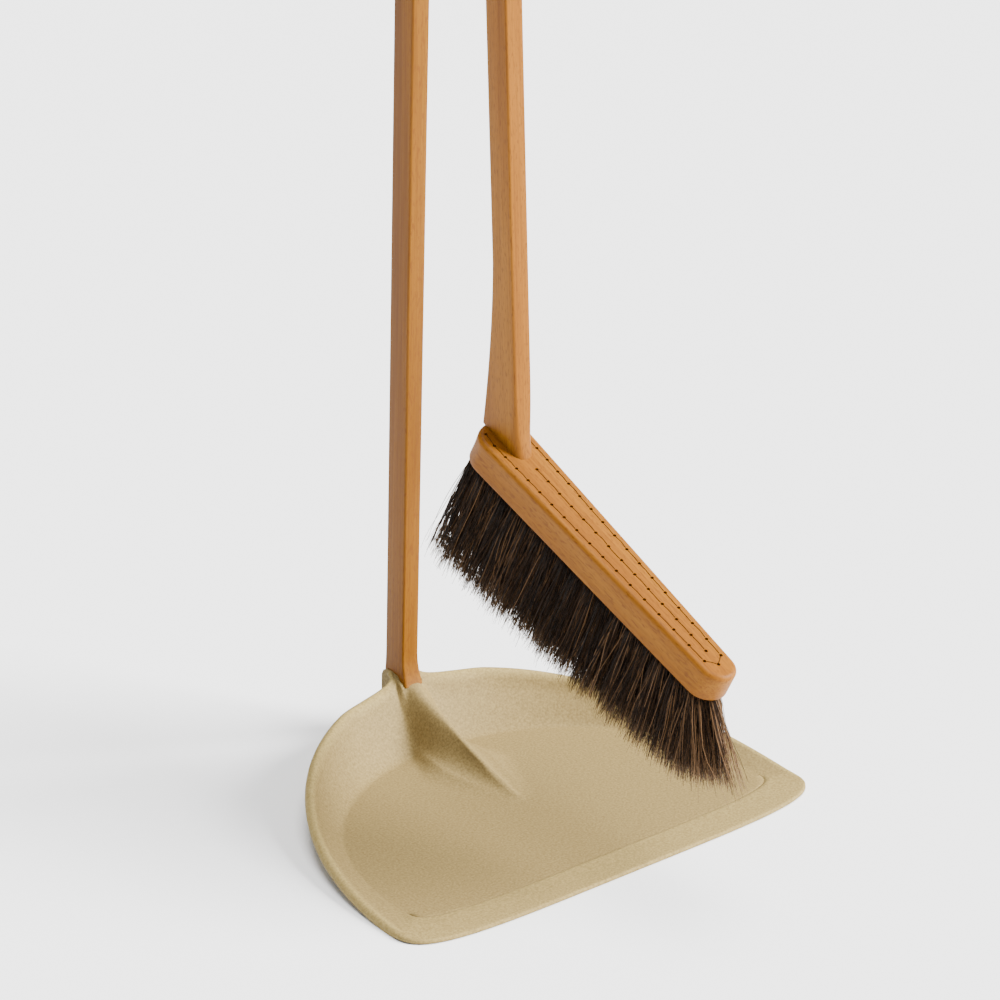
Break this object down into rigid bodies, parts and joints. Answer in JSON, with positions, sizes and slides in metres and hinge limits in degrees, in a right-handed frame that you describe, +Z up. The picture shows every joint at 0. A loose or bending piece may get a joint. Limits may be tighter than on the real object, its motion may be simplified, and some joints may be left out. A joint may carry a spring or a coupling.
{
  "type": "long-handled dustpan and brush set",
  "caption": "Long-handled dustpan of pressed coated steel with a ridged D-shaped pan, and a hair hand brush on a matching slim wooden handle that hangs from a pin at the top.",
  "frame": {"origin": "on the ground at the middle of the set's outline, under the pan and brush", "axes": "+Z up, the pan's open front edge faces -Y, +X to the right along the front edge"},
  "size_m": [0.27, 0.2808, 0.8601],
  "materials": {
    "powder_coat": "matte fine-textured powder coat in warm beige",
    "beech": "oiled steamed beech, satin",
    "turned_beech": "oiled turned beech, satin",
    "hair": "natural dark brown horsehair with lighter tips",
    "drawing_wire": "dull bronze wire",
    "screw_steel": "zinc-plated",
    "pin_steel": "drawn stainless steel"
  },
  "bodies": {
    "dustpan": {"pan_shell": "powder_coat", "handle_socket": "powder_coat", "pan_handle": "beech", "socket_screws": "screw_steel", "foot_screw": "screw_steel"},
    "pin": {"hanging_pin": "pin_steel", "pin_spacer": "turned_beech", "pin_knob": "turned_beech"},
    "brush": {"brush_block": "beech", "brush_handle": "beech", "handle_dowels": "turned_beech", "block_screw": "screw_steel", "tufts_left": "hair", "tufts_middle": "hair", "tufts_right": "hair", "wire_left": "drawing_wire", "wire_middle": "drawing_wire", "wire_right": "drawing_wire"}
  },
  "joints": [
    {"name": "pin_pull", "type": "slide", "parent": "dustpan", "child": "pin", "axis": [0, -0.9995, 0.0332], "range_m": [0, 0.045]},
    {"name": "brush_swing", "type": "hinge", "parent": "pin", "child": "brush", "pos_m": [0, 0.0455, 0.822], "axis": [0, -0.9995, 0.0332], "range_deg": [-90, 90]}
  ]
}
